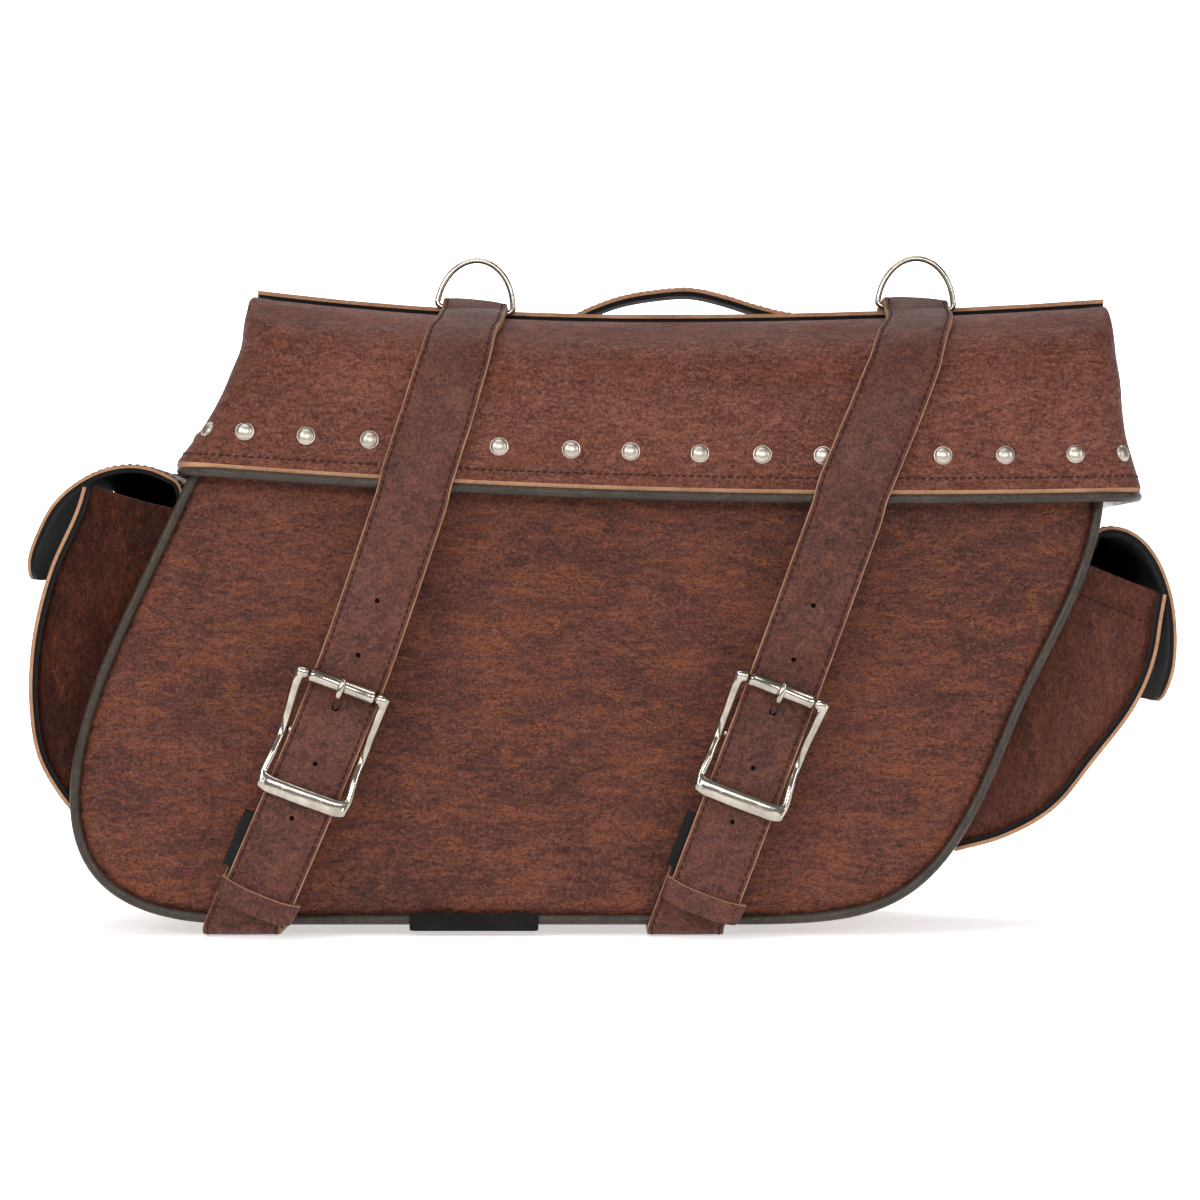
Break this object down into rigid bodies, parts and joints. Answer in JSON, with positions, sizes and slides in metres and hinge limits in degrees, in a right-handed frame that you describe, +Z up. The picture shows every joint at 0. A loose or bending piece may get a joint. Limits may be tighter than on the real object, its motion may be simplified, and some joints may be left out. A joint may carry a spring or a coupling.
{
  "type": "saddle bag",
  "caption": "Slanted leather saddle bag with a studded flap lid, buckled straps, end pockets, D-rings and a carry handle.",
  "frame": {"origin": "middle of the underside of the whole bag's box, on the surface it stands on", "axes": "+Z up, +X along the bag's length toward the right-hand pocket seen from the front, -Y out of the front face"},
  "size_m": [0.6128, 0.1888, 0.3636],
  "materials": {
    "body_leather": "distressed, satin",
    "lid_leather": "distressed, satin",
    "strap_leather": "satin, raw tan edges",
    "piping": "glossy grey-brown",
    "black_lining": "matt",
    "fibre_board": "matt",
    "nickel": "polished nickel plate",
    "black_plastic": "satin"
  },
  "bodies": {
    "root": {"front_panel": "body_leather", "back_panel": "body_leather", "gusset": "body_leather", "front_piping": "piping", "rear_piping": "piping", "front_stiffener": "fibre_board", "back_stiffener": "fibre_board", "bottom_stiffener": "fibre_board", "label_tab": "black_lining", "bottom_strap_left": "strap_leather", "pocket_left_front_wall": "body_leather", "pocket_left_back_wall": "body_leather", "pocket_left_outer_wall": "body_leather", "pocket_left_flap_root": "body_leather", "bottom_strap_right": "strap_leather", "pocket_right_front_wall": "body_leather", "pocket_right_back_wall": "body_leather", "pocket_right_outer_wall": "body_leather", "pocket_right_flap_root": "body_leather"},
    "lid": {"lid_shell": "lid_leather", "lid_piping": "piping", "lid_hinge_strip": "strap_leather", "carry_handle": "strap_leather", "strap_left_upper": "strap_leather", "strap_right_upper": "strap_leather"},
    "d_ring_left": {"d_ring_left": "nickel"},
    "strap_left": {"strap_left_lower": "strap_leather", "buckle_left_frame": "nickel", "buckle_left_chape": "strap_leather", "strap_left_keeper": "strap_leather", "clip_left_socket": "black_plastic"},
    "roller_left": {"buckle_left_roller": "nickel"},
    "prong_left": {"buckle_left_prong": "nickel"},
    "clip_plug_left": {"clip_left_plug": "black_plastic"},
    "flap_left": {"pocket_left_flap": "body_leather"},
    "d_ring_right": {"d_ring_right": "nickel"},
    "strap_right": {"strap_right_lower": "strap_leather", "buckle_right_frame": "nickel", "buckle_right_chape": "strap_leather", "strap_right_keeper": "strap_leather", "clip_right_socket": "black_plastic"},
    "roller_right": {"buckle_right_roller": "nickel"},
    "prong_right": {"buckle_right_prong": "nickel"},
    "clip_plug_right": {"clip_right_plug": "black_plastic"},
    "flap_right": {"pocket_right_flap": "body_leather"}
  },
  "joints": [
    {"name": "lid_hinge", "type": "hinge", "parent": "root", "child": "lid", "pos_m": [-0.00024, 0.09002, 0.313], "axis": [-1, 0, 0], "range_deg": [0, 105]},
    {"name": "d_ring_left_swing", "type": "hinge", "parent": "lid", "child": "d_ring_left", "pos_m": [-0.06844, 0.00702, 0.33334], "axis": [0.9954, 0, -0.0958], "range_deg": [-45, 60]},
    {"name": "strap_left_fold", "type": "hinge", "parent": "lid", "child": "strap_left", "pos_m": [-0.09714, -0.08228, 0.2393], "axis": [-0.9497, 0, 0.3132], "range_deg": [0, 100]},
    {"name": "roller_left_spin", "type": "hinge", "parent": "strap_left", "child": "roller_left", "pos_m": [-0.13313, -0.08673, 0.13149], "axis": [0.9385, 0, -0.3453], "continuous": true},
    {"name": "prong_left_lift", "type": "hinge", "parent": "strap_left", "child": "prong_left", "pos_m": [-0.14384, -0.07313, 0.1024], "axis": [0.9385, 0, -0.3453], "range_deg": [0, 4]},
    {"name": "clip_left_release", "type": "slide", "parent": "root", "child": "clip_plug_left", "axis": [-0.3827, 0, -0.9239], "range_m": [0, 0.014]},
    {"name": "pocket_left_flap_lift", "type": "hinge", "parent": "root", "child": "flap_left", "pos_m": [-0.22804, 0.01702, 0.2396], "axis": [0, 1, 0], "range_deg": [0, 65]},
    {"name": "d_ring_right_swing", "type": "hinge", "parent": "lid", "child": "d_ring_right", "pos_m": [0.17276, 0.00702, 0.33451], "axis": [0.9986, 0, -0.0523], "range_deg": [-45, 60]},
    {"name": "strap_right_fold", "type": "hinge", "parent": "lid", "child": "strap_right", "pos_m": [0.13316, -0.08228, 0.2324], "axis": [-0.9362, 0, 0.3515], "range_deg": [0, 100]},
    {"name": "roller_right_spin", "type": "hinge", "parent": "strap_right", "child": "roller_right", "pos_m": [0.09357, -0.08673, 0.12924], "axis": [0.9336, 0, -0.3584], "continuous": true},
    {"name": "prong_right_lift", "type": "hinge", "parent": "strap_right", "child": "prong_right", "pos_m": [0.08246, -0.07313, 0.1003], "axis": [0.9336, 0, -0.3584], "range_deg": [0, 4]},
    {"name": "clip_right_release", "type": "slide", "parent": "root", "child": "clip_plug_right", "axis": [-0.3584, 0, -0.9336], "range_m": [0, 0.014]},
    {"name": "pocket_right_flap_lift", "type": "hinge", "parent": "root", "child": "flap_right", "pos_m": [0.26776, 0.01702, 0.2126], "axis": [0, -1, 0], "range_deg": [0, 55]}
  ]
}
